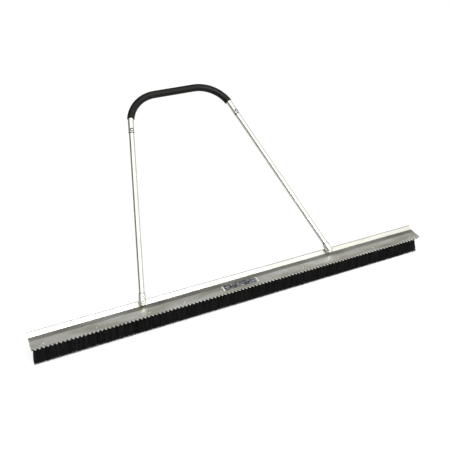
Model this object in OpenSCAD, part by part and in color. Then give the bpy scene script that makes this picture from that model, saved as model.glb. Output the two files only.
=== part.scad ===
// Two-hand drag brush with a serrated front blade.
// A long aluminium head carries a strip brush under it and a toothed blade along its front edge.
// Two splayed tube legs rise from its back flange to a U-shaped handle with a foam grip.
// Frame: X along the head, Y away from the toothed edge, Z up, bristle tips at Z = 0.

/* [Head] */
// Number of teeth along the blade
tooth_count = 112; // [40:1:160]
// Distance from one tooth to the next
tooth_pitch = 19.05; // [10:0.05:40]
// Depth of a tooth from tip to root
tooth_depth = 12.7; // [3:0.1:20]
// Flat left on each tooth tip and in each root
tooth_flat = 1.6; // [0.4:0.1:4]
// Plain length left beyond the last tooth at each end
end_margin = 6.35; // [2:0.05:30]
// Width of the head from tooth tips to ridge
head_w = 88.9; // [60:0.1:140]
// Height of the head's top face above the bristle tips
head_h = 120.65; // [80:0.05:200]
// Thickness of the serrated blade
blade_t = 2.4; // [1.2:0.1:6]
// Width of the rail's top web behind the blade
web_w = 25.4; // [15:0.1:32]
// Wall thickness of the rail
rail_t = 3.2; // [2:0.1:6]
// Width of the sloping back flange
flange_w = 25.4; // [18:0.1:50]
// Radius of the bead along the flange's back edge
bead_r = 2.6; // [1:0.1:4]

/* [Brush] */
// Inside width of the channel that holds the brush
channel_w = 33; // [24:0.1:50]
// Inside height of the channel
channel_h = 14.4; // [10:0.1:24]
// Wall thickness of the channel
channel_t = 2; // [1:0.1:5]
// Width of each lip that holds the strip in the channel
lip_w = 5.5; // [2:0.1:10]
// Gap between the strip's back and the rivets' tails
back_gap = 1.1; // [0.3:0.1:4]
// Gap between the bristles and each lip
lip_gap = 1; // [0.3:0.1:3]
// Thickness of the bristles at their tips
bristle_tip_w = 28; // [8:0.1:60]
// How far the bristle tips spread past the strip's left end
spread_left = 7; // [0:0.5:40]
// How far the bristle tips spread past the strip's right end
spread_right = 28; // [0:0.5:40]
// Length of the plug that closes each end of the channel
plug_len = 10; // [5:0.5:30]
// Clearance round the strip and the plugs in the channel
channel_gap = 0.2; // [0.05:0.05:1]

/* [Handle] */
// Angle of the handle above the ground
handle_angle = 36.6; // [10:0.1:80]
// Inward lean of each leg in the handle's plane
leg_lean = 14.1; // [0:0.1:25]
// Distance between the legs at the head
leg_spread = 1060; // [600:0.1:1600]
// Outer diameter of the leg tube
leg_d = 28.575; // [20:0.005:40]
// Wall thickness of the leg tube
leg_wall = 1.47; // [0.9:0.01:3]
// Straight length of the U tube below each bend
u_straight = 63; // [55:0.5:200]
// Distance left between a leg's top end and the bend
leg_stop = 5; // [2:0.5:10]
// Distance from the ridge to the centre line of the grip, in the handle's plane
handle_len = 1090; // [700:1:1700]
// Bend radius of the U tube's centre line
bend_r = 182; // [90:1:260]
// Wall thickness of the U tube
u_wall = 1.49; // [0.9:0.01:3]
// Thickness of the foam grip
foam_t = 4; // [2:0.1:10]
// Angle left bare at the start of each bend before the foam
foam_start = 6; // [0:0.5:30]

/* [Sockets] */
// Wall thickness of a leg socket
socket_wall = 2.8; // [1.5:0.1:6]
// Length of a socket above the ridge
socket_len = 51; // [40:1:90]
// Height of the socket's rounded end centre above the ridge
dome_up = 12; // [8:0.5:20]
// Distance from the ridge to the closed bottom of the socket's bore
bore_up = 3; // [1:0.5:10]
// Width of the saddle pad under a socket
pad_w = 24; // [16:0.5:34]
// Gap between the flange's bead and the lower bolt's washer
bead_gap = 0.1; // [0.1:0.1:2]
// Gap between the ridge and the saddle pad
ridge_gap = 0.4; // [0.1:0.1:4]
// Distance from the lower bolt to the upper bolt
bolt_gap = 21.5; // [15:0.5:30]
// Diameter of the bolts
bolt_d = 6.2; // [4:0.1:8]
// Diameter of the bolt heads
bolt_head_d = 11.6; // [8:0.1:16]
// Height of the bolt heads
bolt_head_h = 3.8; // [2:0.1:6]
// Clearance round the bolts and rivets in their holes
hole_gap = 0.05; // [0.02:0.01:0.3]
// Clearance round a leg in its socket and in the U tube
leg_gap = 0.1; // [0.03:0.01:0.3]

/* [Snap buttons] */
// Diameter of a button
button_d = 9.4; // [6:0.1:12]
// Height of a button above the U tube
button_up = 2.8; // [1.5:0.1:5]
// Distance from the U tube's end to the button
button_in = 13; // [9:0.5:30]
// Running clearance round a button
button_gap = 0.08; // [0.02:0.01:0.1]
// Width of the collar's rim round the button
collar_rim = 1.5; // [0.8:0.1:3]
// Thickness of the collar
collar_t = 1.2; // [0.8:0.1:2]
// Thickness of the leaf spring
spring_t = 0.8; // [0.4:0.1:1.2]
// Width of the leaf spring
spring_w = 8; // [4:0.5:12]

/* [Rivets and label] */
// Distance of the last rivet from the end of the head
rivet_end = 57.2; // [20:0.1:150]
// Distance of the first rivet from the end of the label
rivet_start = 17.2; // [10:0.1:150]
// Distance between the two rivets in front of each leg
rivet_pair = 35; // [20:0.1:80]
// Gap between the rivets' tails and the channel's front wall
rivet_gap = 1.9; // [0.3:0.1:8]
// Diameter of a rivet's shank
rivet_d = 4.8; // [3:0.1:6]
// Diameter of a rivet's domed head
rivet_head_d = 9.6; // [6:0.1:12]
// Height of a rivet's domed head
rivet_head_h = 2.2; // [1:0.1:4]
// Length of the label
label_len = 195; // [60:1:300]
// Distance of the label's middle from the middle of the head, to the right
label_x = -25; // [-200:1:200]
// Width of the label
label_w = 36; // [10:1:40]
// Thickness of the label
label_t = 0.3; // [0.1:0.05:0.6]

/* [Hidden] */
$fn = 64;
overcut = 1;
head_len = tooth_count * tooth_pitch + 2 * end_margin;
half_len = head_len / 2;
tip_y = -head_w / 2;
ridge_y = head_w / 2;
seam_y = ridge_y - web_w;
ledge_z = head_h - blade_t;
channel_top = ledge_z - rail_t;
channel_ceiling = channel_top - channel_t;
channel_floor = channel_ceiling - channel_h;
channel_bottom = channel_floor - channel_t;
channel_half = channel_w / 2;
channel_out = channel_half + channel_t;
ledge_front = channel_out + 3;
ledge_back = max(seam_y + rail_t, channel_out);
slot_half = channel_half - lip_w;
bristle_root_w = 2 * (slot_half - lip_gap);
strip_len = head_len - 2 * plug_len - 2 * channel_gap;
plug_h = channel_h - 2 * channel_gap;
plug_w = channel_w - 2 * channel_gap;
screw_r = 2.1;
screw_head_r = 4;
screw_head_h = 2.2;
screw_z = channel_floor + channel_h / 2;
screw_x = half_len - plug_len / 2;
screw_reach = channel_t + 9;

leg_r = leg_d / 2;
leg_in_r = leg_r - leg_wall;
u_in_r = leg_r + leg_gap;
u_r = u_in_r + u_wall;
foam_r = u_r + foam_t;
socket_bore_r = leg_r + leg_gap;
socket_r = socket_bore_r + socket_wall;
seat_wall = 0.5;
seat_down = socket_r + seat_wall;
bend_h = handle_len - bend_r;
half_spread = leg_spread / 2;
bend_x = (half_spread * cos(leg_lean) - bend_r - sin(leg_lean) * bend_h) / cos(leg_lean);
bend_start = (bend_h + bend_r * sin(leg_lean)) / cos(leg_lean);
leg_len = bend_start - u_straight;
leg_top = bend_start - leg_stop;
bend_draw = 0.05;
bend_lap = 1;

nut_wall = 1.9;
washer_rim = 3.9;
bolt_r = bolt_d / 2;
bolt_head_r = bolt_head_d / 2;
bolt_hole_r = bolt_r + hole_gap;
boss_r = bolt_head_r + 1;
boss_top = socket_r + 1;
washer_r = bolt_r + washer_rim;
washer_t = 1.2;
nut_flats = bolt_d + 2 * nut_wall;
nut_h = 5;
nut_r = nut_flats / 2 / cos(30);
bolt_tail = 2.5;
bolt_end = seat_down + rail_t + washer_t + nut_h + bolt_tail;
bolt_low = (flange_w - 2 * bead_r - bead_gap - washer_r) / cos(leg_lean);
bolt_high = bolt_low + bolt_gap;
pad_low = (ridge_gap + pad_w / 2 * sin(leg_lean)) / cos(leg_lean);

button_r = button_d / 2;
button_hole_r = button_r + button_gap;
button_at = leg_len + button_in;
button_top = u_r + button_up;
collar_r = button_r + collar_rim;
collar_top = sqrt(leg_in_r * leg_in_r - collar_r * collar_r) - 0.25;
collar_bottom = collar_top - collar_t;
dome_h = 2.6;
spring_nose = 8;
spring_back = 40;
spring_low = sqrt(leg_in_r * leg_in_r - spring_w * spring_w / 4) - 0.1;
spring_bend = 3;

rivet_r = rivet_d / 2;
rivet_hole_r = rivet_r + hole_gap;
rivet_tail_r = rivet_r + 1.2;
rivet_tail_h = 1.5;
rivet_y = channel_half - rivet_tail_r - rivet_gap;
rivet_first = abs(label_x) + label_len / 2 + rivet_start;
rivet_last = half_len - rivet_end;
rivet_x = [rivet_first, (rivet_first + half_spread) / 2, half_spread - rivet_pair / 2,
           half_spread + rivet_pair / 2, (half_spread + rivet_last) / 2, rivet_last];
rivet_all = concat([for (x = rivet_x) -x], rivet_x);
back_h = channel_h - rivet_tail_h - back_gap;

aluminium = [0.78, 0.79, 0.77];
mill = [0.55, 0.55, 0.51];
steel = [0.72, 0.73, 0.74];
black = [0.08, 0.08, 0.08];
dark = [0.16, 0.16, 0.16];
paper = [0.62, 0.63, 0.66];

// Extrudes a shape drawn in Y and Z along X, centred on the head.
module along_x(len) {
    translate([-len / 2, 0, 0])
        rotate([90, 0, 90])
            linear_extrude(len) children();
}

// A circular cap of the given radius and height, standing on Z = 0.
module cap(r, h) {
    ball = (r * r + h * h) / (2 * h);
    intersection() {
        translate([0, 0, h - ball]) sphere(ball);
        cylinder(h = h + overcut, r = r + overcut);
    }
}

// Puts the handle's plane in place: X along the head, Y up the handle, Z out of its front.
module handle_plane() {
    translate([0, ridge_y, head_h])
        rotate([handle_angle, 0, 0])
            translate([0, 0, seat_down])
                children();
}

// Puts a leg's own line in place: side is -1 for the left leg and 1 for the right.
module on_leg(side) {
    handle_plane()
        translate([side * half_spread, 0, 0])
            rotate([0, 0, side * leg_lean])
                children();
}

// A round bar along Y from one height to another.
module bar_y(r, from, to) {
    translate([0, from, 0])
        rotate([-90, 0, 0])
            cylinder(h = to - from, r = r);
}

// The rail's section: top web, step, ledge under the blade, and back flange.
module rail_section() {
    translate([seam_y, head_h - rail_t]) square([web_w, rail_t]);
    translate([seam_y, channel_top]) square([rail_t, head_h - channel_top]);
    translate([-ledge_front, channel_top]) square([ledge_front + ledge_back, rail_t]);
    translate([ridge_y, head_h])
        rotate(handle_angle) {
            translate([0, -rail_t]) square([flange_w - bead_r, rail_t]);
            translate([flange_w - bead_r, -bead_r]) circle(bead_r);
        }
    translate([ridge_y, head_h - rail_t])
        intersection() {
            translate([0, rail_t]) circle(rail_t);
            translate([0, -rail_t]) square(2 * rail_t);
        }
}

// The channel's section: a back against the ledge, two walls and two inward lips.
module channel_section() {
    translate([-channel_out, channel_ceiling]) square([2 * channel_out, channel_t]);
    for (side = [-1, 1]) {
        wall_y = side < 0 ? -channel_out : channel_half;
        lip_y = side < 0 ? -channel_out : slot_half;
        translate([wall_y, channel_bottom])
            square([channel_t, channel_ceiling - channel_bottom]);
        translate([lip_y, channel_bottom]) square([channel_t + lip_w, channel_t]);
    }
}

module rivet_places() {
    for (x = rivet_all) translate([x, -rivet_y, 0]) children();
}

module top_rail() {
    color(mill)
    difference() {
        along_x(head_len) rail_section();
        rivet_places()
            translate([0, 0, channel_top - overcut])
                cylinder(h = rail_t + 2 * overcut, r = rivet_hole_r);
        for (side = [-1, 1])
            on_leg(side)
                translate([0, bolt_low, -seat_down - rail_t - overcut])
                    cylinder(h = rail_t + 2 * overcut, r = bolt_hole_r);
    }
}

// The coated channel under the ledge, held by the same rivets as the blade.
module brush_channel() {
    color(black)
    difference() {
        along_x(head_len) channel_section();
        rivet_places()
            translate([0, 0, channel_ceiling - overcut])
                cylinder(h = channel_t + 2 * overcut, r = rivet_hole_r);
        for (side = [-1, 1])
            translate([side * screw_x, channel_half - overcut, screw_z])
                rotate([-90, 0, 0])
                    cylinder(h = channel_t + 2 * overcut, r = screw_r + hole_gap);
    }
}

// The blade's outline: a plain back edge and a row of teeth along the front.
// Each end is cut through the flank of one more tooth.
function tooth(i) =
    let (x = -tooth_count * tooth_pitch / 2 + i * tooth_pitch, f = tooth_flat / 2)
    [[x + f, tip_y + tooth_depth], [x + tooth_pitch / 2 - f, tip_y],
     [x + tooth_pitch / 2 + f, tip_y], [x + tooth_pitch - f, tip_y + tooth_depth]];

module serrated_blade() {
    teeth = [for (i = [0 : tooth_count - 1]) for (p = tooth(i)) p];
    f = tooth_flat / 2;
    flank = (end_margin - f) / (tooth_pitch / 2 - tooth_flat);
    root_y = tip_y + tooth_depth;
    end_y = root_y - tooth_depth * max(0, min(1, flank));
    ends_left = [[-half_len, seam_y], [-half_len, end_y], [end_margin - f - half_len, root_y]];
    ends_right = [[half_len - end_margin + f, root_y], [half_len, end_y], [half_len, seam_y]];
    color(mill)
    difference() {
        translate([0, 0, ledge_z])
            linear_extrude(blade_t) polygon(concat(ends_left, teeth, ends_right));
        rivet_places()
            translate([0, 0, ledge_z - overcut])
                cylinder(h = blade_t + 2 * overcut, r = rivet_hole_r);
    }
}

// Domed rivets: head on the blade, shank through blade, ledge and channel, tail inside.
module blade_rivets() {
    color(steel)
    rivet_places() {
        translate([0, 0, head_h]) cap(rivet_head_d / 2, rivet_head_h);
        translate([0, 0, channel_ceiling - rivet_tail_h])
            cylinder(h = head_h - channel_ceiling + rivet_tail_h + rivet_head_h / 2,
                     r = rivet_r);
        translate([0, 0, channel_ceiling - rivet_tail_h])
            cylinder(h = rivet_tail_h, r = rivet_tail_r);
    }
}

module brush_back() {
    back_w = channel_w - 2 * channel_gap;
    color(dark)
    along_x(strip_len)
        translate([-back_w / 2, channel_floor]) square([back_w, back_h]);
}

// The bristles as one closed block that spreads towards its tips.
module bristle_strip() {
    root = bristle_root_w / 2;
    tip = bristle_tip_w / 2;
    root_x = strip_len / 2;
    left_x = -root_x - spread_left;
    right_x = root_x + spread_right;
    color(black)
    intersection() {
        along_x(2 * (root_x + max(spread_left, spread_right)))
            polygon([[-tip, 0], [tip, 0], [root, channel_bottom], [root, channel_floor],
                     [-root, channel_floor], [-root, channel_bottom]]);
        translate([0, tip + overcut, 0])
            rotate([90, 0, 0])
                linear_extrude(2 * tip + 2 * overcut)
                    polygon([[left_x, 0], [right_x, 0], [root_x, channel_bottom],
                             [root_x, channel_floor], [-root_x, channel_floor],
                             [-root_x, channel_bottom]]);
    }
}

// A block that closes one end of the channel and stops the strip from sliding out.
module channel_plug(side) {
    color(dark)
    difference() {
        translate([side * (half_len - plug_len / 2) - plug_len / 2, -plug_w / 2, channel_floor])
            cube([plug_len, plug_w, plug_h]);
        translate([side * screw_x, plug_w / 2 + overcut, screw_z])
            rotate([90, 0, 0])
                cylinder(h = screw_reach - channel_t + overcut, r = screw_r + hole_gap);
    }
}

module left_channel_plug() {
    channel_plug(-1);
}

module right_channel_plug() {
    channel_plug(1);
}

// Pan-head screws through the channel's back wall into the plugs.
module plug_screws() {
    color(steel)
    for (side = [-1, 1])
        translate([side * screw_x, channel_out, screw_z])
            rotate([90, 0, 0]) {
                cylinder(h = screw_reach - channel_gap - hole_gap, r = screw_r);
                rotate([180, 0, 0]) cap(screw_head_r, screw_head_h);
            }
}

module label() {
    color(paper)
    translate([label_x - label_len / 2, seam_y - overcut - label_w, head_h])
        cube([label_len, label_w, label_t]);
}

// A cast socket: round barrel with a domed lower end, a saddle pad and two bolt bosses.
module socket(side) {
    color(aluminium)
    on_leg(side)
        difference() {
            union() {
                bar_y(socket_r, dome_up, socket_len);
                translate([0, dome_up, 0]) sphere(socket_r);
                translate([-pad_w / 2, pad_low, -seat_down])
                    cube([pad_w, socket_len - pad_low - 1, seat_down]);
                for (up = [bolt_low, bolt_high])
                    translate([0, up, 0]) cylinder(h = boss_top, r = boss_r);
            }
            bar_y(socket_bore_r, bore_up, socket_len + overcut);
            for (up = [bolt_low, bolt_high])
                translate([0, up, -seat_down - overcut])
                    cylinder(h = seat_down + boss_top + 2 * overcut, r = bolt_hole_r);
        }
}

module left_socket() {
    socket(-1);
}

module right_socket() {
    socket(1);
}

// Round-head bolts through socket and leg; the lower one also holds the flange.
module socket_bolts() {
    color(steel)
    for (side = [-1, 1])
        on_leg(side)
            for (up = [bolt_low, bolt_high])
                translate([0, up, 0]) {
                    translate([0, 0, boss_top]) cap(bolt_head_r, bolt_head_h);
                    translate([0, 0, -bolt_end])
                        cylinder(h = bolt_end + boss_top + bolt_head_h / 2, r = bolt_r);
                }
}

// Where each bolt's washer starts, under the flange or under the saddle pad.
function washer_z(up) = up == bolt_low ? -seat_down - rail_t : -seat_down;

module socket_washers() {
    color(steel)
    for (side = [-1, 1])
        on_leg(side)
            for (up = [bolt_low, bolt_high])
                translate([0, up, washer_z(up) - washer_t])
                    difference() {
                        cylinder(h = washer_t, r = washer_r);
                        translate([0, 0, -overcut])
                            cylinder(h = washer_t + 2 * overcut, r = bolt_hole_r);
                    }
}

module socket_nuts() {
    color(steel)
    for (side = [-1, 1])
        on_leg(side)
            for (up = [bolt_low, bolt_high])
                translate([0, up, washer_z(up) - washer_t - nut_h])
                    difference() {
                        cylinder(h = nut_h, r = nut_r, $fn = 6);
                        translate([0, 0, -overcut])
                            cylinder(h = nut_h + 2 * overcut, r = bolt_hole_r);
                    }
}

// A straight leg tube with its bolt holes and the hole for its snap button.
module leg(side) {
    color(aluminium)
    on_leg(side)
        difference() {
            bar_y(leg_r, bore_up, leg_top);
            bar_y(leg_in_r, bore_up - overcut, leg_top + overcut);
            for (up = [bolt_low, bolt_high])
                translate([0, up, -leg_d])
                    cylinder(h = 2 * leg_d, r = bolt_hole_r);
            translate([0, button_at, 0])
                cylinder(h = leg_d, r = button_hole_r);
        }
}

module left_leg() {
    leg(-1);
}

module right_leg() {
    leg(1);
}

// One bend of a round bar that follows the U, from an angle past the leg to the top.
// The bar draws in by a hair where it is bent, so each straight laps over the bend's end.
module bend(r, from, to) {
    translate([bend_x, bend_h, 0])
        rotate(from)
            rotate_extrude(angle = to - from)
                translate([bend_r, 0]) circle(r - bend_draw);
}

// The straight bar across the top, lapping both bends.
module top_bar(r) {
    translate([-bend_x - bend_lap, handle_len, 0])
        rotate([0, 90, 0])
            cylinder(h = 2 * bend_x + 2 * bend_lap, r = r);
}

// The U's whole line as a solid bar of the given radius.
module u_bar(r, grow) {
    for (side = [-1, 1]) {
        translate([side * half_spread, 0, 0])
            rotate([0, 0, side * leg_lean])
                bar_y(r, leg_len - grow, bend_start + bend_lap);
        mirror([side < 0 ? 1 : 0, 0, 0]) bend(r, leg_lean, 90);
    }
    top_bar(r);
}

module u_handle() {
    color(aluminium)
    handle_plane()
        difference() {
            u_bar(u_r, 0);
            u_bar(u_in_r, overcut);
            for (side = [-1, 1])
                translate([side * half_spread, 0, 0])
                    rotate([0, 0, side * leg_lean])
                        translate([0, button_at, 0])
                            cylinder(h = 2 * u_r, r = button_hole_r);
        }
}

// The grip's line round both bends and across the top.
module foam_bar(r, grow) {
    for (side = [-1, 1])
        mirror([side < 0 ? 1 : 0, 0, 0]) bend(r, leg_lean + foam_start - grow, 90);
    top_bar(r);
}

module foam_grip() {
    color(dark)
    handle_plane()
        difference() {
            foam_bar(foam_r, 0);
            foam_bar(u_r + hole_gap, overcut);
        }
}

// A domed button with a collar that bears under the leg's wall.
module button(side) {
    color(steel)
    on_leg(side)
        translate([0, button_at, 0]) {
            translate([0, 0, collar_bottom])
                cylinder(h = button_top - dome_h - collar_bottom, r = button_r);
            translate([0, 0, button_top - dome_h]) cap(button_r, dome_h);
            translate([0, 0, collar_bottom]) cylinder(h = collar_t, r = collar_r);
        }
}

module left_button() {
    button(-1);
}

module right_button() {
    button(1);
}

// A folded leaf spring: the upper arm lifts the button, the lower arm rests in the leg.
module leaf_spring(side) {
    top = collar_bottom;
    tail = spring_back;
    color(steel)
    on_leg(side)
        translate([-spring_w / 2, button_at, 0])
            rotate([90, 0, 90])
                linear_extrude(spring_w)
                    polygon([[-spring_nose, top - spring_t], [-spring_nose, top],
                             [spring_nose, top], [tail, spring_bend],
                             [tail + spring_bend, 0], [tail, -spring_bend],
                             [-spring_nose, -spring_low], [-spring_nose, spring_t - spring_low],
                             [tail - spring_t, -spring_bend + spring_t],
                             [tail + spring_bend - 2 * spring_t, 0],
                             [tail - spring_t, spring_bend - spring_t],
                             [spring_nose - spring_t / 2, top - spring_t]]);
}

module left_button_spring() {
    leaf_spring(-1);
}

module right_button_spring() {
    leaf_spring(1);
}

top_rail();
serrated_blade();
blade_rivets();
brush_channel();
brush_back();
bristle_strip();
left_channel_plug();
right_channel_plug();
plug_screws();
label();
left_socket();
right_socket();
socket_bolts();
socket_washers();
socket_nuts();
left_leg();
right_leg();
u_handle();
foam_grip();
left_button();
right_button();
left_button_spring();
right_button_spring();
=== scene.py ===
# %% [markdown]
# # A two-hand drag brush with a serrated blade
# The object is a long aluminium head with a toothed blade along its front and a thick strip
# of black bristles under it. Two tube legs and a bent U tube with a foam grip pull it along.
# The rigid parts come in as a fixed frame. This lesson adds what that frame can't hold:
# real bristle filaments, the foam sleeve, detailed fasteners, and every surface finish.

import math
import random

import bmesh
import bpy
from mathutils import Matrix, Vector


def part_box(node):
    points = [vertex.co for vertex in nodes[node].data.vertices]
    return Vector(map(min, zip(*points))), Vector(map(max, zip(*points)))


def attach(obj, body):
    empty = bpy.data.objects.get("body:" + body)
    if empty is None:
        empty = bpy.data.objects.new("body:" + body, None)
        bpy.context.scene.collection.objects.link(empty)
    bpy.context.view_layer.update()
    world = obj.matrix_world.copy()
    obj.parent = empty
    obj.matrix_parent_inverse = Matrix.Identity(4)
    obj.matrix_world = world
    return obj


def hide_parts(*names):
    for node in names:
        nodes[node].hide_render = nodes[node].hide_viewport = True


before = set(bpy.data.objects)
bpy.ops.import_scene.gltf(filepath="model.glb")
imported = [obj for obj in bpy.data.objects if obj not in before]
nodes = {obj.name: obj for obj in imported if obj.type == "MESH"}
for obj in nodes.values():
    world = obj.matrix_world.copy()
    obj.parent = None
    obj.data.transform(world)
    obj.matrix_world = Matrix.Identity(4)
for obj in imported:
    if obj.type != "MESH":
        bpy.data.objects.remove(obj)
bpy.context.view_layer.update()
ROOT = "frame"
MM = 0.001
random.seed(84)

# %% [markdown]
# ## Where things are
# The head lies along X, the handle rises away along +Y, and the bristle tips touch Z = 0.
# The legs and the U tube lie in one sloping plane. Its place follows from the grip's own
# box: the straight top of the U is the furthest and highest part of the foam.

# %% Measure the frame
HANDLE_ANGLE = math.radians(36.6)
LEG_LEAN = math.radians(14.1)
BEND_RADIUS = 182 * MM
TUBE_RADIUS = 15.8775 * MM
FOAM_THICK = 4 * MM
FOAM_START = math.radians(6)
foam_low, foam_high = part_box("foam_grip")
FOAM_RADIUS = TUBE_RADIUS + FOAM_THICK
across = Vector((1, 0, 0))
up_handle = Vector((0, math.cos(HANDLE_ANGLE), math.sin(HANDLE_ANGLE)))
out_front = across.cross(up_handle)
grip_middle = Vector((0, foam_high.y - FOAM_RADIUS, foam_high.z - FOAM_RADIUS))
bend_x = foam_high.x - (BEND_RADIUS + FOAM_RADIUS) * math.cos(LEG_LEAN + FOAM_START)
bend_centre = grip_middle + across * bend_x - up_handle * BEND_RADIUS
blade_low, blade_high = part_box("serrated_blade")
rail_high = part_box("top_rail")[1]
brush_low, brush_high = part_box("bristle_strip")
back_low, back_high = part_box("brush_back")
print("grip middle", [round(v, 4) for v in grip_middle], "bend at x", round(bend_x, 4))

# %% [markdown]
# ## Into the scene
# A mesh, a lamp or a camera shows once an object holds it and a collection holds the object.

# %% Object helpers
def new_object(name, data):
    """Puts a mesh, a light or a camera into the scene."""
    made = bpy.data.objects.new(name, data)
    bpy.context.scene.collection.objects.link(made)
    return made


def mesh_object(name, bm, smooth=False):
    """Turns a finished bmesh into an object, and frees the bmesh."""
    for face in bm.faces:
        face.smooth = smooth
    mesh = bpy.data.meshes.new(name)
    bm.to_mesh(mesh)
    bm.free()
    return new_object(name, mesh)


print("object helpers ready")

# %% [markdown]
# ## The camera
# The camera looks from the front left and from above, at the toothed edge, with a slightly
# long lens. It comes early, so that every later cell can be looked at through it.

# %% Camera
CAMERA_PLACE = Vector((-1.3066, -2.3711, 2.3134))
CAMERA_RIGHT = Vector((0.90139, -0.43232, 0.02425))
CAMERA_AHEAD = Vector((0.36948, 0.73874, -0.56370))
FOCAL = 55.32


def make_camera():
    ahead = CAMERA_AHEAD.normalized()
    right = (CAMERA_RIGHT - ahead * CAMERA_RIGHT.dot(ahead)).normalized()
    up = right.cross(ahead)
    turn = Matrix((right, up, -ahead)).transposed().to_4x4()
    data = bpy.data.cameras.new("camera")
    data.lens = FOCAL
    data.sensor_width = 36
    data.clip_end = 100
    camera = new_object("camera", data)
    camera.matrix_world = Matrix.Translation(CAMERA_PLACE) @ turn
    bpy.context.scene.camera = camera
    return camera


camera = make_camera()
print("camera", round(camera.data.lens, 1), "mm")

# %% [markdown]
# ## Material helpers
# Colours are written as sRGB hex values, as a paint card gives them, and turned to linear
# light once. One small function adds a node, sets its inputs and links it. A noise texture
# seldom leaves the range from 0.3 to 0.7, so ramps and roughness are spread over that.

# %% Material helpers
def linear(code):
    """Linear light and full alpha for an sRGB hex value."""
    parts = [int(code[i:i + 2], 16) / 255 for i in (1, 3, 5)]
    return tuple(v / 12.92 if v <= 0.04045 else ((v + 0.055) / 1.055) ** 2.4
                 for v in parts) + (1.0,)


def add(tree, kind, props=None, stops=(), **inputs):
    """Adds a node, sets its properties and ramp stops, and sets or links its inputs.

    An input goes by its name with _ for each space, or by i and its number.
    """
    node = tree.nodes.new(kind)
    for key, value in (props or {}).items():
        setattr(node, key, value)
    for _ in stops[2:]:
        node.color_ramp.elements.new(0.5)
    for i, (place, colour) in enumerate(stops):
        node.color_ramp.elements[i].position = place
        node.color_ramp.elements[i].color = linear(colour)
    for key, value in inputs.items():
        name = key.replace("_", " ")
        socket = node.inputs[int(key[1:])] if key[1:].isdigit() else node.inputs[name]
        if isinstance(value, bpy.types.NodeSocket):
            tree.links.new(value, socket)
        else:
            socket.default_value = value
    return node


def new_material(name):
    """An empty material and its node tree."""
    material = bpy.data.materials.new(name)
    material.use_nodes = True
    material.node_tree.nodes.clear()
    return material, material.node_tree


def surface(tree, **inputs):
    """Ends a material with its shader and its output."""
    shader = add(tree, "ShaderNodeBsdfPrincipled", **inputs)
    add(tree, "ShaderNodeOutputMaterial", Surface=shader.outputs[0])


def object_coords(tree, turn=(0, 0, 0), stretch=(1, 1, 1), move=(0, 0, 0)):
    coords = add(tree, "ShaderNodeTexCoord")
    mapping = add(tree, "ShaderNodeMapping", i0=coords.outputs["Object"], i1=move, i2=turn,
                  i3=stretch)
    return mapping.outputs[0]


def blend_colour(material, there, colour):
    """Mixes a colour into a material's own, by a value that goes from 0 to 1."""
    tree = material.node_tree
    socket = tree.nodes["Principled BSDF"].inputs["Base Color"]
    mix = add(tree, "ShaderNodeMix", {"data_type": "RGBA"}, i0=there,
              i6=socket.links[0].from_socket, i7=linear(colour))
    tree.links.new(mix.outputs[2], socket)


NOISE_LOW, NOISE_HIGH = 0.3, 0.7
print("helpers ready, mid grey is", round(linear("#808080")[0], 3))

# %% [markdown]
# ## Extruded and rolled aluminium
# The rail is an aluminium extrusion in mill finish. The die leaves faint lines along its
# length, and air leaves the metal slightly warm and dull. The blade is rolled sheet, a
# little lighter, with a fine straight grain. Its teeth are punched, and their tips carry a
# painted highlight. Painted shade darkens the blade along its narrow joint with the rail,
# and the rail along its bead.
# Both are metals, so their colour is the colour of their reflection.

# %% Aluminium materials
LINE_STRETCH = (0.012, 1, 1)
CLOUD_STRETCH = (0.25, 1, 1)
METAL_DENT = 0.2 * MM
# Spans in from an edge: painted shade at the bead, a painted highlight at the tooth tips,
# painted shade at the joint.
BEAD_SHADE = (5.6 * MM, 4.4 * MM)
TIP_HIGHLIGHT = (11 * MM, 3 * MM)
JOINT_SHADE = (1.6 * MM, 0.4 * MM)


def lengthwise_metal(name, shades, rough_low, rough_high, line_mm, bump, turn=(0, 0, 0)):
    """Metal with fine lines along its local X axis after the turn."""
    material, tree = new_material(name)
    lines = add(tree, "ShaderNodeTexNoise", Vector=object_coords(tree, turn, LINE_STRETCH),
                Scale=1 / (line_mm * MM), Detail=3.0, Roughness=0.6)
    cloud = add(tree, "ShaderNodeTexNoise", Vector=object_coords(tree, turn, CLOUD_STRETCH),
                Scale=22.0, Detail=4.0, Roughness=0.55)
    mix = add(tree, "ShaderNodeMix", {"data_type": "FLOAT"}, i0=0.6,
              i2=lines.outputs[0], i3=cloud.outputs[0])
    shade = add(tree, "ShaderNodeValToRGB", stops=shades, i0=mix.outputs[0])
    rough = add(tree, "ShaderNodeMapRange", i0=cloud.outputs[0], i1=NOISE_LOW,
                i2=NOISE_HIGH, i3=rough_low, i4=rough_high)
    dent = add(tree, "ShaderNodeBump", Strength=bump, Distance=METAL_DENT,
               Height=lines.outputs[0])
    surface(tree, Base_Color=shade.outputs[0], Roughness=rough.outputs[0],
            Normal=dent.outputs[0], Metallic=1.0)
    return material


def mark(material, start, end, colour):
    """Fades a metal into another colour as Y goes from start to end."""
    tree = material.node_tree
    parts = add(tree, "ShaderNodeSeparateXYZ", i0=object_coords(tree))
    there = add(tree, "ShaderNodeMapRange", i0=parts.outputs[1], i1=start, i2=end)
    blend_colour(material, there.outputs[0], colour)


extruded = lengthwise_metal(
    "mill_finish_extrusion", [(0.36, "#9b9a93"), (0.52, "#acaca7"), (0.66, "#b4b6b7")],
    rough_low=0.30, rough_high=0.42, line_mm=1.2, bump=0.25)
# Painted shade: the rail is painted darker over its last few millimetres, along the bead.
mark(extruded, rail_high.y - BEAD_SHADE[0], rail_high.y - BEAD_SHADE[1], "#61615c")
rolled = lengthwise_metal(
    "rolled_aluminium_sheet", [(0.36, "#c2c1b6"), (0.5, "#d3d2c8"), (0.64, "#dbdde0")],
    rough_low=0.34, rough_high=0.46, line_mm=0.8, bump=0.2)
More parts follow.
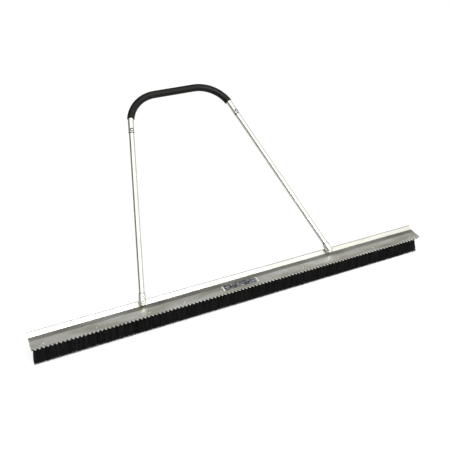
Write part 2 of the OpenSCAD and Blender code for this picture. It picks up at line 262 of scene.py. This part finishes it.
# Painted highlight: the blade is painted near white over its last millimetres at the tooth
# tips.
mark(rolled, blade_low.y + TIP_HIGHLIGHT[0], blade_low.y + TIP_HIGHLIGHT[1], "#efefec")
# Painted shade: a dark line is painted along the blade's edge at its joint with the rail.
mark(rolled, blade_high.y - JOINT_SHADE[0], blade_high.y - JOINT_SHADE[1], "#5d5d58")
print("made", extruded.name, "and", rolled.name)

# %% [markdown]
# ## Drawn tube
# The legs and the U are drawn aluminium tube, brighter than the extrusion, with faint lines
# along each tube. Each leg leans its own way, so the pattern is turned to follow it.

# %% Tube materials
def tube_turn(lean):
    """The turn that brings a leaning tube's own length onto the X axis."""
    along = (Matrix.Rotation(HANDLE_ANGLE, 3, "X") @ Matrix.Rotation(lean, 3, "Z")
             @ Matrix.Rotation(math.radians(90), 3, "Z"))
    return tuple(along.inverted().to_euler())


tubes = {}
for piece, lean in (("left_leg", -LEG_LEAN), ("right_leg", LEG_LEAN), ("u_handle", 0.0)):
    tubes[piece] = lengthwise_metal(
        "drawn_tube_" + piece, [(0.32, "#b6b6b1"), (0.68, "#c6c6c1")],
        rough_low=0.2, rough_high=0.3, line_mm=1.0, bump=0.12, turn=tube_turn(lean))
print("made", len(tubes), "tube finishes")

# %% [markdown]
# Where one tube slides in another, and round each snap button, painted shade darkens the
# aluminium in a dark grey ring or disc. Each one's place is read from the pieces that meet
# there.

# %% Painted shade on the tubes
# Painted shade: the dark grey painted where tubes meet and round the snap buttons, and how
# far it reaches.
PAINTED_SHADE_GREY = "#2b2b28"
SOCKET_SHADE = (1.2 * MM, 4.5 * MM)
SLEEVE_SHADE = (1.5 * MM, 5 * MM)
BUTTON_SHADE = (8 * MM, 11 * MM)
BUTTON_FACE = 5 * MM


def furthest(name, direction):
    """How far a node goes along a direction, as its lowest and highest value."""
    along = [direction.dot(v.co) for v in nodes[name].data.vertices]
    return min(along), max(along)


def paint_shade(material, distance, start, end):
    """Paints shade into a metal where a distance is under start, and fades it out by end."""
    there = add(material.node_tree, "ShaderNodeMapRange", i0=distance, i1=start, i2=end,
                i3=1.0, i4=0.0)
    blend_colour(material, there.outputs[0], PAINTED_SHADE_GREY)


def shade_ring(material, lean, at, width):
    tree = material.node_tree
    parts = add(tree, "ShaderNodeSeparateXYZ", i0=object_coords(tree, tube_turn(lean)))
    offset = add(tree, "ShaderNodeMath", {"operation": "SUBTRACT"}, i0=parts.outputs[0],
                 i1=at)
    distance = add(tree, "ShaderNodeMath", {"operation": "ABSOLUTE"}, i0=offset.outputs[0])
    paint_shade(material, distance.outputs[0], width * 0.5, width)


def shade_round_button(material, button):
    low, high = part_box(button)
    tree = material.node_tree
    face = (low + high) / 2 + out_front * BUTTON_FACE
    distance = add(tree, "ShaderNodeVectorMath", {"operation": "DISTANCE"},
                   i0=object_coords(tree), i1=tuple(face))
    paint_shade(material, distance.outputs["Value"], *BUTTON_SHADE)


for side, lean in (("left", -LEG_LEAN), ("right", LEG_LEAN)):
    leg = tubes[side + "_leg"]
    upward = up_handle * math.cos(lean) - across * math.sin(lean)
    mouth = furthest(side + "_socket", upward)[1]
    sleeve_end = furthest("u_handle", upward)[0]
    # Painted shade rings where the leg leaves its socket and enters the U, and a painted
    # shade disc round each snap button.
    shade_ring(leg, lean, mouth + SOCKET_SHADE[0], SOCKET_SHADE[1])
    shade_ring(leg, lean, sleeve_end - SLEEVE_SHADE[0], SLEEVE_SHADE[1])
    shade_round_button(tubes["u_handle"], side + "_button")
    print(side, "leg leaves its socket at", round(mouth, 4), "and the U at",
          round(sleeve_end, 4))

# %% [markdown]
# ## Castings and steel
# The sockets are cast and then tumbled, so they are paler and duller, with a fine grain.
# Bolts, nuts and washers are zinc plated steel. The snap buttons are polished, and their
# leaf springs are blued.

# %% Casting and steel materials
def grainy_metal(name, dark, light, rough_low, rough_high, grain_mm, bump):
    """Metal with an even grain, as from casting, plating or tumbling."""
    material, tree = new_material(name)
    place = object_coords(tree)
    grain = add(tree, "ShaderNodeTexNoise", Vector=place, Scale=1 / (grain_mm * MM),
                Detail=2.0, Roughness=0.5)
    cloud = add(tree, "ShaderNodeTexNoise", Vector=place, Scale=60.0, Detail=3.0)
    shade = add(tree, "ShaderNodeValToRGB", stops=[(NOISE_LOW, dark), (NOISE_HIGH, light)],
                i0=cloud.outputs[0])
    rough = add(tree, "ShaderNodeMapRange", i0=grain.outputs[0], i1=NOISE_LOW,
                i2=NOISE_HIGH, i3=rough_low, i4=rough_high)
    dent = add(tree, "ShaderNodeBump", Strength=bump, Distance=METAL_DENT,
               Height=grain.outputs[0])
    surface(tree, Base_Color=shade.outputs[0], Roughness=rough.outputs[0],
            Normal=dent.outputs[0], Metallic=1.0)
    return material


cast = grainy_metal("tumbled_cast_aluminium", "#b2b2ac", "#c6c6c1", 0.3, 0.45, 0.8, 0.35)
zinc = grainy_metal("zinc_plated_steel", "#b9b9b2", "#cbcac2", 0.22, 0.35, 0.5, 0.1)
polished = grainy_metal("polished_steel_button", "#cfcfcf", "#dcdcdc", 0.1, 0.18, 0.6, 0.05)
blued = grainy_metal("blued_spring_steel", "#2b2e36", "#3b3f49", 0.25, 0.4, 0.5, 0.1)
rivet_metal = grainy_metal("aluminium_rivet", "#8d8d88", "#a3a39e", 0.3, 0.42, 0.6, 0.15)
print("made five grained metals")

# %% [markdown]
# ## Plastics, bristle and foam
# The back strip and the plugs are black polypropylene with a moulded texture. The channel
# round them is powder coated, which shows as a faint orange peel. The bristles are drawn
# polypropylene filament: nearly black, a little glossy, each a slightly different shade. The
# grip is closed-cell foam, whose skin shows fine pits and scatters light.

# %% Plastic, bristle and foam materials
PLASTIC_DENT = 0.3 * MM
ROUGH_SPAN = 0.06


def moulded_plastic(name, dark, light, roughness, grain_mm, bump):
    """Black plastic or coating with the even texture of its mould or powder."""
    material, tree = new_material(name)
    place = object_coords(tree)
    grain = add(tree, "ShaderNodeTexNoise", Vector=place, Scale=1 / (grain_mm * MM),
                Detail=3.0, Roughness=0.6)
    shade = add(tree, "ShaderNodeValToRGB", stops=[(NOISE_LOW, dark), (NOISE_HIGH, light)],
                i0=grain.outputs[0])
    rough = add(tree, "ShaderNodeMapRange", i0=grain.outputs[0], i3=roughness - ROUGH_SPAN,
                i4=roughness + ROUGH_SPAN)
    dent = add(tree, "ShaderNodeBump", Strength=bump, Distance=PLASTIC_DENT,
               Height=grain.outputs[0])
    surface(tree, Base_Color=shade.outputs[0], Roughness=rough.outputs[0],
            Normal=dent.outputs[0], IOR=1.49)
    return material


plastic = moulded_plastic("moulded_polypropylene", "#101010", "#1a1a1a", 0.5, 1.0, 0.3)
powder_coat = moulded_plastic("black_powder_coat", "#0c0c0c", "#151515", 0.55, 0.9, 0.45)


def filament_material():
    material, tree = new_material("polypropylene_filament")
    place = object_coords(tree, stretch=(1, 1, 0.05))
    noise = add(tree, "ShaderNodeTexNoise", Vector=place, Scale=450.0, Detail=2.0)
    shade = add(tree, "ShaderNodeValToRGB", i0=noise.outputs[0],
                stops=[(NOISE_LOW, "#040404"), (NOISE_HIGH, "#0c0c0c")])
    surface(tree, Base_Color=shade.outputs[0], Roughness=0.5, IOR=1.49,
            Specular_IOR_Level=0.15)
    return material


def foam_material():
    material, tree = new_material("closed_cell_foam")
    place = object_coords(tree)
    cells = add(tree, "ShaderNodeTexVoronoi", Vector=place, Scale=1 / (1.3 * MM))
    lumps = add(tree, "ShaderNodeTexNoise", Vector=place, Scale=90.0, Detail=4.0)
    shade = add(tree, "ShaderNodeValToRGB", i0=lumps.outputs[0],
                stops=[(NOISE_LOW, "#060606"), (NOISE_HIGH, "#0f0f0f")])
    rough = add(tree, "ShaderNodeMapRange", i0=lumps.outputs[0], i1=NOISE_LOW,
                i2=NOISE_HIGH, i3=0.34, i4=0.44)
    fine = add(tree, "ShaderNodeBump", Strength=0.3, Distance=0.3 * MM,
               Height=cells.outputs[0])
    soft = add(tree, "ShaderNodeBump", Strength=0.3, Distance=MM,
               Height=lumps.outputs[0], Normal=fine.outputs[0])
    surface(tree, Base_Color=shade.outputs[0], Roughness=rough.outputs[0],
            Normal=soft.outputs[0], IOR=1.45, Specular_IOR_Level=0.14)
    return material


filament = filament_material()
foam = foam_material()
print("made", plastic.name, powder_coat.name, filament.name, foam.name)

# %% [markdown]
# ## The label
# A vinyl label lies on the blade, a little left of the middle. Its print is replaced by a
# worn slate panel with soft dark blots, and a plain pale strip at each end.

# %% Label material
END_STRIP = 0.462  # where an end strip begins, if the label's own ends are at 0.5


def label_material():
    low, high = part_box("label")
    middle = (low + high) / 2
    size = high - low
    material, tree = new_material("vinyl_label")
    place = object_coords(tree, stretch=(1 / size.x, 1 / size.y, 0),
                          move=(-middle.x / size.x, -middle.y / size.y, 0))
    parts = add(tree, "ShaderNodeSeparateXYZ", i0=place)
    across_label = add(tree, "ShaderNodeMath", {"operation": "ABSOLUTE"},
                       i0=parts.outputs[0])
    edge = add(tree, "ShaderNodeMath", {"operation": "GREATER_THAN"},
               i0=across_label.outputs[0], i1=END_STRIP)
    blots = add(tree, "ShaderNodeTexNoise", Vector=object_coords(tree), Scale=110.0,
                Detail=2.0)
    panel = add(tree, "ShaderNodeValToRGB", i0=blots.outputs[0],
                stops=[(0.36, "#131416"), (0.47, "#34363b"), (0.58, "#484a50"),
                       (0.68, "#9b9c9f")])
    mix = add(tree, "ShaderNodeMix", {"data_type": "RGBA"}, i0=edge.outputs[0],
              i6=panel.outputs[0], i7=linear("#a4a4a2"))
    surface(tree, Base_Color=mix.outputs[2], Roughness=0.4, IOR=1.5)
    return material


label_finish = label_material()
print("made", label_finish.name)

# %% [markdown]
# ## Dressing the frame's own parts
# A part whose shape is right keeps its mesh and gets its finish through its material slots.

# %% Assign finishes
def dress(piece, material):
    piece.data.materials.clear()
    piece.data.materials.append(material)


finishes = {
    "top_rail": extruded, "serrated_blade": rolled, "blade_rivets": rivet_metal,
    "brush_channel": powder_coat, "brush_back": plastic, "bristle_strip": filament,
    "left_channel_plug": plastic, "right_channel_plug": plastic, "plug_screws": zinc,
    "label": label_finish,
    "left_socket": cast, "right_socket": cast, "socket_bolts": zinc,
    "socket_washers": zinc, "socket_nuts": zinc, "foam_grip": foam,
    "left_button": polished, "right_button": polished, "left_button_spring": blued,
    "right_button_spring": blued, **tubes}
for name, finish in finishes.items():
    dress(nodes[name], finish)
print("dressed", len(finishes), "nodes")

# %% [markdown]
# ## Fasteners
# Bolts, nuts, washers, screws and rivets are round parts, turned or pressed from wire. So
# each is a stack of rings along its axis, bridged one to the next. A ring can be pulled onto
# flats, which makes a hexagon nut or the socket in a bolt's head. The frame's own solids
# say where each one sits, how long it is and how wide.

# %% Find the separate solids of a node
def leg_axes(x):
    """Axes of the leg on that side: across it, up it and out of its front."""
    flat = Matrix((across, up_handle, out_front)).transposed()
    return flat @ Matrix.Rotation(math.copysign(LEG_LEAN, x), 3, "Z")


def solids_of(name, axes_at):
    """The place, length and radius of each separate solid of a node, in millimetres."""
    bm = bmesh.new()
    bm.from_mesh(nodes[name].data)
    bmesh.ops.remove_doubles(bm, verts=bm.verts, dist=0.01 * MM)
    found, seen = [], set()
    for start in bm.verts:
        if start in seen:
            continue
        seen.add(start)
        group = [start]
        for v in group:
            for other in (e.other_vert(v) for e in v.link_edges):
                if other not in seen:
                    seen.add(other)
                    group.append(other)
        axes = axes_at(start.co.x)
        points = [axes.transposed() @ v.co for v in group]
        low = Vector(min(p[i] for p in points) for i in range(3))
        high = Vector(max(p[i] for p in points) for i in range(3))
        foot = axes @ Vector(((low.x + high.x) / 2, (low.y + high.y) / 2, low.z))
        place = Matrix.Translation(foot) @ axes.to_4x4() @ Matrix.Scale(MM, 4)
        found.append((place, (high.z - low.z) / MM, (high.x - low.x) / 2 / MM))
    bm.free()
    print(name, "has", len(found), "solids, the first", round(found[0][1], 1), "mm long")
    return found


# %% [markdown]
# A ring is written as its radius, its height along the axis and its number of flats, with
# 0 for a round one. Each fastener becomes one piece that stands for its node.

# %% Stack rings into a turned part
RING_POINTS = 36
DOME_STEPS = 6
SHARP = math.radians(32)


def turned(bm, rings, place, closed=False):
    """Bridges rings of (radius, height, flats) in millimetres along a part's axis."""
    loops = []
    for i, (radius, height, flats) in enumerate(rings):
        capped = not closed and i in (0, len(rings) - 1)
        made = bmesh.ops.create_circle(bm, segments=RING_POINTS, radius=1.0,
                                       cap_ends=capped)
        for v in made["verts"]:
            out = radius
            if flats:
                step = 2 * math.pi / flats
                angle = math.atan2(v.co.y, v.co.x) % step
                out *= math.cos(step / 2) / math.cos(angle - step / 2)
            v.co = place @ Vector((v.co.x * out, v.co.y * out, height))
        loops.append(list({e for v in made["verts"] for e in v.link_edges}))
    for low, high in zip(loops, loops[1:] + (loops[:1] if closed else [])):
        bmesh.ops.bridge_loops(bm, edges=low + high)


def dome(radius, rise, top, inner):
    """Rings of a shallow dome, from its rim up to the edge of a recess."""
    ball = (radius ** 2 + rise ** 2) / (2 * rise)
    steps = [radius + (inner - radius) * i / DOME_STEPS for i in range(DOME_STEPS + 1)]
    return [(r, top - ball + math.sqrt(ball ** 2 - r ** 2), 0) for r in steps]


def metal_piece(bm, name, material, node):
    """Turns a finished bmesh into the piece that stands for a node."""
    bmesh.ops.recalc_face_normals(bm, faces=bm.faces)
    piece = mesh_object(name, bm, smooth=True)
    piece.data.set_sharp_from_angle(angle=SHARP)
    dress(piece, material)
    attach(piece, ROOT)
    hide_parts(node)
    print(name, "has", len(piece.data.polygons), "faces")


print("a ring has", RING_POINTS, "points")

# %% [markdown]
# The bolts are button heads with a hexagon socket. Their tails stand out of the nuts, so a
# few turns of thread are drawn there, as rings a millimetre apart.

# %% Bolts, nuts and washers
BOLT_RADIUS = 3.1
THREAD_ROOT = 2.62
THREAD_TURNS = 4
THREAD_START = 0.6
HEAD_RISE = 3.8
KEY_RADIUS = 2.35
CHAMFER = 0.6
WASHER_EDGE = 0.25


def bolt_rings(length, radius):
    rings = [(2.3, 0, 0)]
    for turn in range(THREAD_TURNS):
        rings += [(BOLT_RADIUS, THREAD_START + turn, 0),
                  (THREAD_ROOT, THREAD_START + 0.5 + turn, 0)]
    rings += [(BOLT_RADIUS, THREAD_START + THREAD_TURNS, 0),
              (BOLT_RADIUS, length - HEAD_RISE, 0)]
    rings += dome(radius, HEAD_RISE, length, 2.6)
    rim = rings[-1][1]
    return rings + [(KEY_RADIUS, rim - 0.25, 6), (KEY_RADIUS, rim - 2.3, 6),
                    (0.3, rim - 3.0, 0)]


def nut_rings(length, radius):
    flat = radius * math.cos(math.pi / 6) - 0.2
    return [(BOLT_RADIUS, 0, 0), (flat, 0, 0), (radius, CHAMFER, 6),
            (radius, length - CHAMFER, 6), (flat, length, 0), (BOLT_RADIUS, length, 0)]


def washer_rings(length, radius):
    hole = BOLT_RADIUS + 0.05
    rim = radius - WASHER_EDGE
    return [(hole, 0.2, 0), (hole + 0.2, 0, 0), (rim, 0, 0), (radius, WASHER_EDGE, 0),
            (radius, length - WASHER_EDGE, 0), (rim, length, 0), (hole + 0.2, length, 0),
            (hole, length - 0.2, 0)]


for node, name, rings_of, closed in (
        ("socket_bolts", "button_head_bolts", bolt_rings, False),
        ("socket_nuts", "hexagon_nuts", nut_rings, True),
        ("socket_washers", "flat_washers", washer_rings, True)):
    bm = bmesh.new()
    for place, length, radius in solids_of(node, leg_axes):
        turned(bm, rings_of(length, radius), place, closed)
    metal_piece(bm, name, zinc, node)

# %% [markdown]
# The blade is held by blind rivets, which keep a small pit where their pin broke off. The
# screws of the channel plugs have pan heads with a square socket.

# %% Rivets and plug screws
RIVET_HEAD = 2.2
RIVET_SHANK = 2.4
RIVET_BULGE = 3.6
SCREW_HEAD = 2.2
SCREW_SHANK = 2.1


def rivet_rings(length, radius):
    rings = [(3.0, 0, 0), (RIVET_BULGE, 0.4, 0), (RIVET_BULGE, 1.3, 0), (3.4, 1.5, 0),
             (RIVET_SHANK, 1.5, 0), (RIVET_SHANK, length - RIVET_HEAD, 0)]
    rings += dome(radius, RIVET_HEAD, length, 1.35)
    rim = rings[-1][1]
    return rings + [(1.15, rim - 0.2, 0), (1.15, rim - 0.9, 0), (0.4, rim - 0.7, 0)]


def screw_rings(length, radius):
    rings = [(1.0, 0, 0), (SCREW_SHANK, 1.2, 0), (SCREW_SHANK, length - SCREW_HEAD, 0)]
    rings += dome(radius, SCREW_HEAD, length, 1.9)
    rim = rings[-1][1]
    return rings + [(1.75, rim - 0.2, 4), (1.6, rim - 1.5, 4), (0.3, rim - 1.7, 0)]


bm = bmesh.new()
for place, length, radius in solids_of("blade_rivets", lambda x: Matrix.Identity(3)):
    turned(bm, rivet_rings(length, radius), place)
metal_piece(bm, "blind_rivets", rivet_metal, "blade_rivets")

outward = Matrix(((1, 0, 0), (0, 0, 1), (0, -1, 0)))
bm = bmesh.new()
for place, length, radius in solids_of("plug_screws", lambda x: outward):
    turned(bm, screw_rings(length, radius), place)
metal_piece(bm, "pan_head_screws", zinc, "plug_screws")

# %% [markdown]
# ## Bristles
# A strip brush is punched full of holes, and each hole holds a tuft of filaments. Rows of
# staggered tufts spread and meet at their tips, where they are trimmed flat. One tapered
# filament is made from a three-sided cone, cut twice so that it can bend. Filaments make a
# tuft, a few different tufts are made, and each row takes them in turn. Towards both ends of
# the head the tufts lean outwards, because nothing beside them holds them in.

# %% One tuft
FILAMENT_ROOT = 0.55 * MM
FILAMENT_TIP = 0.42 * MM
TUFT_PITCH = 10.8 * MM
TUFT_ROOT = 3.6 * MM
TUFT_TIP = 8.4 * MM
PER_TUFT = 40
ROW_PLACES = (-6.2 * MM, 0.0, 6.2 * MM)
BRISTLE = brush_high.z - brush_low.z
GOLDEN = math.radians(137.508)
BENDS = (-0.22, 0.15)
SWAY = (1.1, 0.8)
UNEVEN = 1.2 * MM


def filament_mesh(bm, root, lean, sway, short):
    """Adds one bent filament that hangs from root to the trim line."""
    length = BRISTLE - short
    made = bmesh.ops.create_cone(bm, cap_ends=True, segments=3, radius1=FILAMENT_TIP,
                                 radius2=FILAMENT_ROOT, depth=length)
    verts = made["verts"]
    geom = verts + list({e for v in verts for e in v.link_edges}) + list(
        {f for v in verts for f in v.link_faces})
    for share in BENDS:
        cut = bmesh.ops.bisect_plane(bm, geom=geom, plane_co=(0, 0, length * share),
                                     plane_no=(0, 0, 1))
        geom = cut["geom"]
    verts = [g for g in geom if isinstance(g, bmesh.types.BMVert)]
    turn = Matrix.Rotation(random.uniform(0, 2.0), 3, "Z")
    bmesh.ops.rotate(bm, verts=verts, cent=(0, 0, 0), matrix=turn)
    for v in verts:
        drop = 0.5 - v.co.z / length
        v.co.x += root.x + lean.x * drop + sway.x * drop * drop
        v.co.y += root.y + lean.y * drop + sway.y * drop * drop
        v.co.z = -drop * length


def tuft_mesh(seed):
    """A mesh of one tuft, its root at the origin, hanging down."""
    random.seed(seed)
    bm = bmesh.new()
    for i in range(PER_TUFT):
        out = math.sqrt((i + 0.5) / PER_TUFT)
        angle = i * GOLDEN + random.uniform(-0.2, 0.2)
        ring = Vector((math.cos(angle), math.sin(angle), 0)) * out
        root = ring * TUFT_ROOT
        lean = ring * (TUFT_TIP - TUFT_ROOT) * random.uniform(0.7, 1.1)
        sway = Vector((random.gauss(0, SWAY[0]), random.gauss(0, SWAY[1]), 0)) * MM
        filament_mesh(bm, root, lean, sway, random.uniform(0, UNEVEN))
    mesh = bpy.data.meshes.new("tuft")
    bm.to_mesh(mesh)
    bm.free()
    return mesh


tufts = [tuft_mesh(seed) for seed in range(6)]
print("a tuft has", len(tufts[0].polygons), "faces")

# %% [markdown]
# The rows are filled tuft by tuft. Then every point of a row is nudged: outwards near the
# ends, and never past the front, back and ends of the brush's own box.

# %% Rows of tufts
END_ZONE = {-1: 0.05, 1: 0.07}
END_GAP = 1.5 * MM
MOST_SPREAD = 1.1
CURVE = 1.1
SPREAD = {-1: back_low.x - brush_low.x, 1: brush_high.x - back_high.x}


def spread_out(v):
    """Leans a point outwards near the ends and keeps it in the brush's box."""
    drop = min(1.0, max(0.0, (brush_high.z - v.co.z) / BRISTLE))
    side = 1 if v.co.x > 0 else -1
    near = max(0.0, (abs(v.co.x) - back_high.x) / END_ZONE[side] + 1)
    v.co.x += side * SPREAD[side] * min(near, MOST_SPREAD) ** 2 * drop ** CURVE
    v.co.x = max(brush_low.x, min(brush_high.x, v.co.x))
    v.co.y = max(brush_low.y, min(brush_high.y, v.co.y))


def make_row(name, y, stagger, seed):
    """Fills one row of the brush with tufts, set half a pitch along if it is staggered."""
    random.seed(seed)
    bm = bmesh.new()
    first = back_low.x + TUFT_ROOT + END_GAP
    span = 2 * abs(first)
    gaps = round(span / TUFT_PITCH)
    first += stagger * span / gaps / 2
    count = gaps + 1 - stagger
    for i in range(count):
        place = Matrix.Translation((first + i * span / gaps, y, brush_high.z))
        turn = Matrix.Rotation(random.choice((0, math.pi)), 4, "Z")
        copy = tufts[random.randrange(len(tufts))].copy()
        copy.transform(place @ turn)
        bm.from_mesh(copy)
        bpy.data.meshes.remove(copy)
    for v in bm.verts:
        spread_out(v)
    row = mesh_object(name, bm)
    dress(row, filament)
    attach(row, ROOT)
    print(name, "has", count, "tufts and", len(row.data.polygons), "faces")
    return row


rows = [make_row("bristle_row_" + str(i + 1), y, i % 2, 20 + i)
        for i, y in enumerate(ROW_PLACES)]
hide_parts("bristle_strip")

# %% [markdown]
# ## The foam grip
# The grip is a foam sleeve pulled over the U before it is fitted. Two rings, the outer skin
# and the bore, are spun round the left bend, drawn straight across the top and spun round
# the right bend. The open ends are bridged, and the end edges are rounded with a bevel.

# %% Foam sleeve
RING = 48
BEND_STEPS = 28
TOP_STEPS = 10
FOAM_GAP = 0.1 * MM
FOAM_EDGE = 1.6 * MM


def swept_skin(bm, radius):
    """Sweeps a ring along the grip and returns its two end loops of edges."""
    bare = LEG_LEAN + FOAM_START
    start = math.pi / 2 - bare
    made = bmesh.ops.create_circle(bm, cap_ends=False, segments=RING, radius=radius)
    verts = made["verts"]
    base = Matrix((across, -out_front, up_handle)).transposed().to_4x4()
    turn_in = Matrix.Rotation(-bare, 4, out_front)
    left = Vector((-bend_centre.x, bend_centre.y, bend_centre.z))
    hub = left - bend_centre
    ring_at = Matrix.Translation(left) @ turn_in @ Matrix.Translation(-across * BEND_RADIUS)
    bmesh.ops.transform(bm, matrix=ring_at @ base, verts=verts)
    first = list({e for v in verts for e in v.link_edges})
    loop = first
    for centre, move in ((left, True), (bend_centre, False)):
        spun = bmesh.ops.spin(bm, geom=loop, cent=centre, axis=out_front, angle=-start,
                              steps=BEND_STEPS, use_merge=False)
        loop = [g for g in spun["geom_last"] if isinstance(g, bmesh.types.BMEdge)]
        if move:
            for _ in range(TOP_STEPS):
                pulled = bmesh.ops.extrude_edge_only(bm, edges=loop)
                new = [g for g in pulled["geom"] if isinstance(g, bmesh.types.BMVert)]
                bmesh.ops.translate(bm, verts=new, vec=-hub / TOP_STEPS)
                loop = [g for g in pulled["geom"] if isinstance(g, bmesh.types.BMEdge)
                        and all(v in new for v in g.verts)]
    return first, loop


def make_foam():
    bm = bmesh.new()
    skin = swept_skin(bm, FOAM_RADIUS)
    bore = swept_skin(bm, TUBE_RADIUS + FOAM_GAP)
    for outer, inner in zip(skin, bore):
        bmesh.ops.bridge_loops(bm, edges=outer + inner)
    rims = [e for loop in skin for e in loop]
    bmesh.ops.bevel(bm, geom=rims, offset=FOAM_EDGE, offset_type="OFFSET", segments=4,
                    profile=0.5, affect="EDGES", material=-1)
    bmesh.ops.recalc_face_normals(bm, faces=bm.faces)
    sleeve = mesh_object("foam_sleeve", bm, smooth=True)
    dress(sleeve, foam)
    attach(sleeve, ROOT)
    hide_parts("foam_grip")
    return sleeve


sleeve = make_foam()
print("the sleeve has", len(sleeve.data.polygons), "faces")

# %% [markdown]
# ## Floor and light
# The object stands on a pale sheet lit from below, as on a studio's light table, so it casts
# hardly any shadow. The glow fades out past the edge of the view.

# %% Floor
FLOOR_SIZE = 30.0
LIT_CENTRE = (1.6, 2.1, 0.0)
LIT_RADIUS = 4.0
LIT_FADE = 4.5
GLOW = (0.78, 0.25)


def make_floor():
    bm = bmesh.new()
    bmesh.ops.create_grid(bm, x_segments=1, y_segments=1, size=FLOOR_SIZE)
    floor = mesh_object("floor", bm)
    material, tree = new_material("pale_floor")
    centre = add(tree, "ShaderNodeVectorMath", {"operation": "DISTANCE"},
                 i0=object_coords(tree), i1=LIT_CENTRE)
    glow = add(tree, "ShaderNodeMapRange", i0=centre.outputs["Value"], i1=LIT_RADIUS,
               i2=LIT_RADIUS + LIT_FADE, i3=GLOW[0], i4=GLOW[1])
    surface(tree, Base_Color=linear("#6e6e6e"), Roughness=0.9, Specular_IOR_Level=0.1,
            Emission_Color=linear("#ffffff"), Emission_Strength=glow.outputs[0])
    dress(floor, material)
    return floor


floor = make_floor()
print("floor laid,", round(floor.dimensions.x), "m wide")

# %% [markdown]
# ## World and lights
# The metal shows what stands round it: a white ceiling that comes forward over the camera, a
# grey wall behind, which the flat top of the head reflects, a dark screen on the left, which
# draws a grey edge down each tube, and a warm panel on the right. Each of them fades in as
# the view turns towards it. One lamp stands before the head and draws the highlights.

# %% World and lights
CEILING = {"way": (0.0, -0.6, 0.8), "fade": (0.32, 0.7), "strength": (0.0, 2.1)}
SCREEN = {"way": (-0.95, 0.0, -0.75), "fade": (0.08, 0.45), "strength": (1.0, 0.0)}
PANEL = {"way": (0.9, -0.1, -0.3), "fade": (0.45, 0.65), "strength": (0.0, 0.85)}
ROOM_LIGHT = 0.23


def make_world():
    world = bpy.data.worlds.new("studio")
    bpy.context.scene.world = world
    world.use_nodes = True
    tree = world.node_tree
    tree.nodes.clear()
    coords = add(tree, "ShaderNodeTexCoord")
    faded = []
    for part in (CEILING, SCREEN, PANEL):
        towards = add(tree, "ShaderNodeVectorMath", {"operation": "DOT_PRODUCT"},
                      i0=coords.outputs["Generated"], i1=part["way"])
        fade = add(tree, "ShaderNodeMapRange", i0=towards.outputs["Value"],
                   i1=part["fade"][0], i2=part["fade"][1], i3=part["strength"][0],
                   i4=part["strength"][1])
        faded.append(fade.outputs[0])
    ceiling, screen, panel = faded
    sky = add(tree, "ShaderNodeMath", {"operation": "MULTIPLY_ADD"}, i0=ceiling, i1=screen,
              i2=ROOM_LIGHT)
    back = add(tree, "ShaderNodeBackground", Color=linear("#fffefa"),
               Strength=sky.outputs[0])
    warm = add(tree, "ShaderNodeBackground", Color=linear("#fff4e2"), Strength=panel)
    both = add(tree, "ShaderNodeAddShader", i0=back.outputs[0], i1=warm.outputs[0])
    add(tree, "ShaderNodeOutputWorld", Surface=both.outputs[0])
    return world


def soft_box(name, place, aim, size, power):
    data = bpy.data.lights.new(name, "AREA")
    data.shape = "RECTANGLE"
    data.size, data.size_y = size
    data.energy = power
    light = new_object(name, data)
    light.location = place
    light.rotation_euler = (Vector(aim) - Vector(place)).to_track_quat("-Z", "Y").to_euler()
    return light


world = make_world()
key = soft_box("key", place=(-0.2, -2.6, 4.1), aim=(0, 0.6, 0.5), size=(3.2, 0.5),
               power=170)
bpy.context.scene.view_settings.view_transform = "Standard"
print("lit by", world.name, "and", key.name)
